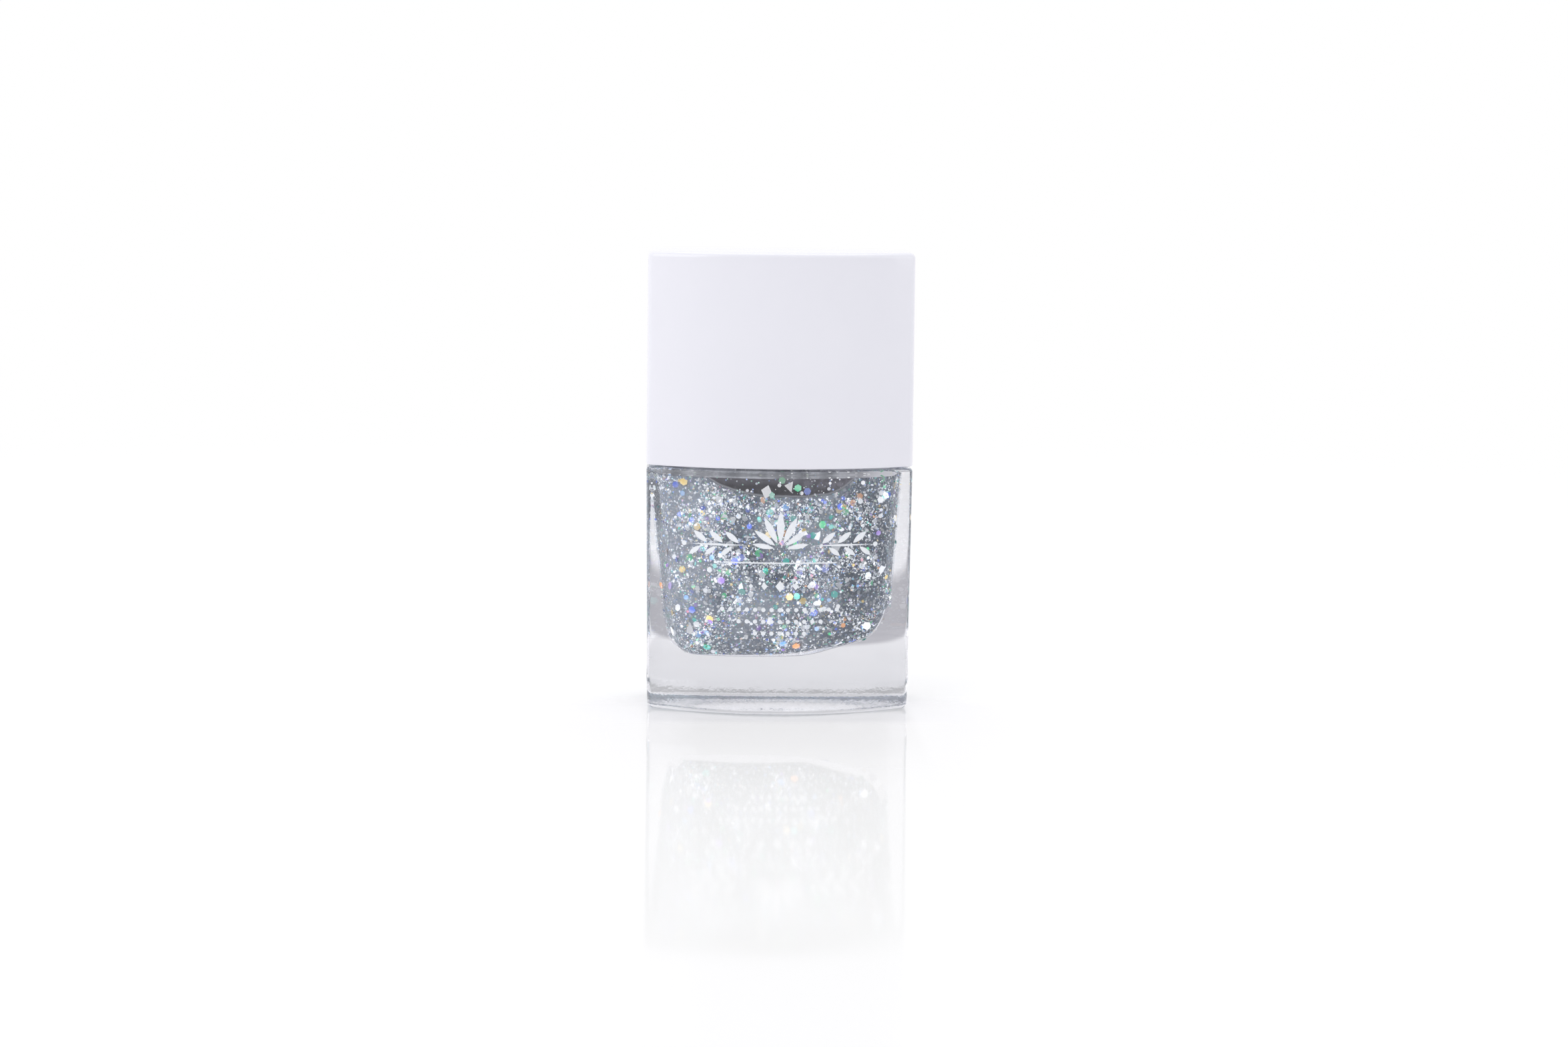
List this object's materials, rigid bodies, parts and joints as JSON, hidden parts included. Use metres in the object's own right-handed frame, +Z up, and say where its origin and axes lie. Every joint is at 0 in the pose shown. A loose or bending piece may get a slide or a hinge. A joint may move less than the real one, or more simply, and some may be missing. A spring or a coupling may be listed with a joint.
{
  "type": "nail polish bottle",
  "caption": "Rectangular clear glass bottle with bowed front and back, tall plain cap, neck brush and glitter gel filling; the cap twists and lifts out with its brush.",
  "frame": {"origin": "middle of the bottle's base, on the plane it stands on", "axes": "+Z up along the neck and the cap, -Y towards the printed front, +X to the viewer's right"},
  "size_m": [0.036, 0.0216, 0.062],
  "materials": {
    "clear_glass": "clear, polished",
    "glitter_gel": "blue-grey gel full of silver and rainbow glitter",
    "steel_balls": "polished steel",
    "white_ink": "screen-printed ink, satin",
    "white_cap": "glossy moulded",
    "natural_plastic": "satin polypropylene",
    "liner_foam": "soft polyethylene foam",
    "stem_plastic": "satin polyethylene",
    "staple_steel": "drawn flat wire",
    "bristle_nylon": "fine nylon filaments"
  },
  "bodies": {
    "bottle": {"glass_bottle": "clear_glass", "nail_polish": "glitter_gel", "mixing_ball_left": "steel_balls", "mixing_ball_right": "steel_balls", "front_print": "white_ink"},
    "liner": {"sealing_liner": "liner_foam"},
    "cap": {"over_cap": "white_cap", "inner_cap": "natural_plastic", "brush_stem": "stem_plastic", "brush_staple": "staple_steel", "brush_bristles": "bristle_nylon"}
  },
  "joints": [
    {"name": "cap_lift", "type": "slide", "parent": "bottle", "child": "liner", "axis": [0, 0, 1], "range_m": [0, 0.045]},
    {"name": "cap_twist", "type": "hinge", "parent": "liner", "child": "cap", "pos_m": [0, 0, 0.0445], "axis": [0, 0, 1], "range_deg": [0, 540]}
  ]
}
